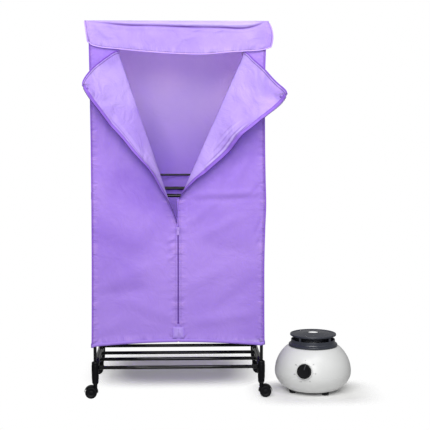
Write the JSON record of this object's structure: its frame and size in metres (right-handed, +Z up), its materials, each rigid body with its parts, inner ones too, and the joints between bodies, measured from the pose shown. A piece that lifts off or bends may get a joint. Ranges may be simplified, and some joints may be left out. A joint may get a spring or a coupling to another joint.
{
  "type": "portable clothes dryer",
  "caption": "Wheeled tube frame under a zipped fabric cover with fold-back doors and a valance, with a round hot air blower standing beside it.",
  "frame": {"origin": "on the floor, under the middle of the space that the cabinet and the blower take up together", "axes": "+Z up, -Y towards the viewer of the doors, +X from the cabinet towards the blower"},
  "size_m": [1.1089, 0.5734, 1.518],
  "materials": {
    "cloth": "smooth violet nylon",
    "lining": "paler coated inner side of the violet nylon",
    "zip_tape": "woven tape with nylon teeth",
    "bright_metal": "plated",
    "black_tube": "black enamel",
    "black_plastic": "moulded",
    "caster_tread": "moulded nylon",
    "white_gloss": "glossy moulding",
    "charcoal_gloss": "glossy moulding",
    "motor_metal": "plated can",
    "heater_alloy": "plain"
  },
  "bodies": {
    "cabinet": {"cover_front_left": "cloth", "cover_front_right": "cloth", "cover_side_left": "cloth", "cover_side_right": "cloth", "cover_back": "cloth", "cover_top": "cloth", "cover_head": "cloth", "zip_chain": "zip_tape", "post_front_left": "black_tube", "post_front_right": "black_tube", "post_back_left": "black_tube", "post_back_right": "black_tube", "shelf_bar_front": "black_tube", "shelf_bar_back": "black_tube", "shelf_bar_inner_1": "black_tube", "shelf_bar_inner_2": "black_tube", "shelf_rail_left": "black_tube", "shelf_rail_right": "black_tube", "mid_bar_front": "black_tube", "mid_bar_back": "black_tube", "mid_rail_left": "black_tube", "mid_rail_right": "black_tube", "thin_bar": "black_tube", "top_rail_front": "black_tube", "top_rail_back": "black_tube", "top_rail_left": "black_tube", "top_rail_right": "black_tube", "hanging_rod": "black_tube", "foot_socket_front_left": "black_plastic", "foot_socket_front_right": "black_plastic", "foot_socket_back_left": "black_plastic", "foot_socket_back_right": "black_plastic", "corner_joint_front_left": "black_plastic", "corner_joint_front_right": "black_plastic", "corner_joint_back_left": "black_plastic", "corner_joint_back_right": "black_plastic"},
    "lapel_left": {"lapel_left": "lining"},
    "lapel_right": {"lapel_right": "lining"},
    "valance": {"valance": "cloth"},
    "zip_slider": {"zip_slider": "bright_metal"},
    "zip_pull": {"zip_pull": "bright_metal"},
    "caster_front_left": {"caster_fork_front_left": "black_plastic"},
    "caster_front_right": {"caster_fork_front_right": "black_plastic"},
    "caster_back_left": {"caster_fork_back_left": "black_plastic"},
    "caster_back_right": {"caster_fork_back_right": "black_plastic"},
    "wheels_front_left": {"caster_wheels_front_left": "caster_tread"},
    "wheels_front_right": {"caster_wheels_front_right": "caster_tread"},
    "wheels_back_left": {"caster_wheels_back_left": "caster_tread"},
    "wheels_back_right": {"caster_wheels_back_right": "caster_tread"},
    "blower": {"blower_shell": "white_gloss", "blower_base": "black_plastic", "outlet_collar": "charcoal_gloss", "outlet_grille": "charcoal_gloss", "deflector_disc": "charcoal_gloss", "motor": "motor_metal", "heater": "heater_alloy", "timer": "black_plastic", "cord_gland": "black_plastic"},
    "timer_knob": {"timer_knob": "black_plastic"},
    "fan": {"fan": "black_plastic"}
  },
  "joints": [
    {"name": "lapel_left_fold", "type": "hinge", "parent": "cabinet", "child": "lapel_left", "pos_m": [-0.16722, -0.17783, 0.7], "axis": [-0.3154, 0, 0.949], "range_deg": [0, 153]},
    {"name": "lapel_right_fold", "type": "hinge", "parent": "cabinet", "child": "lapel_right", "pos_m": [-0.16482, -0.17783, 0.8], "axis": [-0.4043, 0, -0.9146], "range_deg": [0, 153]},
    {"name": "valance_lift", "type": "hinge", "parent": "cabinet", "child": "valance", "pos_m": [-0.16602, -0.17773, 1.518], "axis": [-1, 0, 0], "range_deg": [0, 110]},
    {"name": "zip_slide", "type": "slide", "parent": "cabinet", "child": "zip_slider", "axis": [0, 0, 1], "range_m": [-0.37, 0.66]},
    {"name": "zip_pull_swing", "type": "hinge", "parent": "zip_slider", "child": "zip_pull", "pos_m": [-0.16602, -0.18503, 0.6925], "axis": [-1, 0, 0], "range_deg": [0, 170]},
    {"name": "swivel_front_left", "type": "hinge", "parent": "cabinet", "child": "caster_front_left", "pos_m": [-0.50402, -0.16373, 0.06], "axis": [0, 0, 1], "continuous": true},
    {"name": "roll_front_left", "type": "hinge", "parent": "caster_front_left", "child": "wheels_front_left", "pos_m": [-0.52102, -0.16373, 0.024], "axis": [0, 1, 0], "continuous": true},
    {"name": "swivel_front_right", "type": "hinge", "parent": "cabinet", "child": "caster_front_right", "pos_m": [0.17198, -0.16373, 0.06], "axis": [0, 0, 1], "continuous": true},
    {"name": "roll_front_right", "type": "hinge", "parent": "caster_front_right", "child": "wheels_front_right", "pos_m": [0.18898, -0.16373, 0.024], "axis": [0, 1, 0], "continuous": true},
    {"name": "swivel_back_left", "type": "hinge", "parent": "cabinet", "child": "caster_back_left", "pos_m": [-0.50402, 0.26527, 0.06], "axis": [0, 0, 1], "continuous": true},
    {"name": "roll_back_left", "type": "hinge", "parent": "caster_back_left", "child": "wheels_back_left", "pos_m": [-0.52102, 0.26527, 0.024], "axis": [0, 1, 0], "continuous": true},
    {"name": "swivel_back_right", "type": "hinge", "parent": "cabinet", "child": "caster_back_right", "pos_m": [0.17198, 0.26527, 0.06], "axis": [0, 0, 1], "continuous": true},
    {"name": "roll_back_right", "type": "hinge", "parent": "caster_back_right", "child": "wheels_back_right", "pos_m": [0.18898, 0.26527, 0.024], "axis": [0, 1, 0], "continuous": true},
    {"name": "blower_lift", "type": "slide", "parent": "cabinet", "child": "blower", "axis": [0, 0, 1], "range_m": [0, 0.3]},
    {"name": "timer_turn", "type": "hinge", "parent": "blower", "child": "timer_knob", "pos_m": [0.3437, -0.20398, 0.112], "axis": [0.3272, 0.9188, -0.2207], "range_deg": [-16, 284]},
    {"name": "fan_spin", "type": "hinge", "parent": "blower", "child": "fan", "pos_m": [0.39578, -0.05773, 0.1], "axis": [0, 0, 1], "continuous": true}
  ]
}
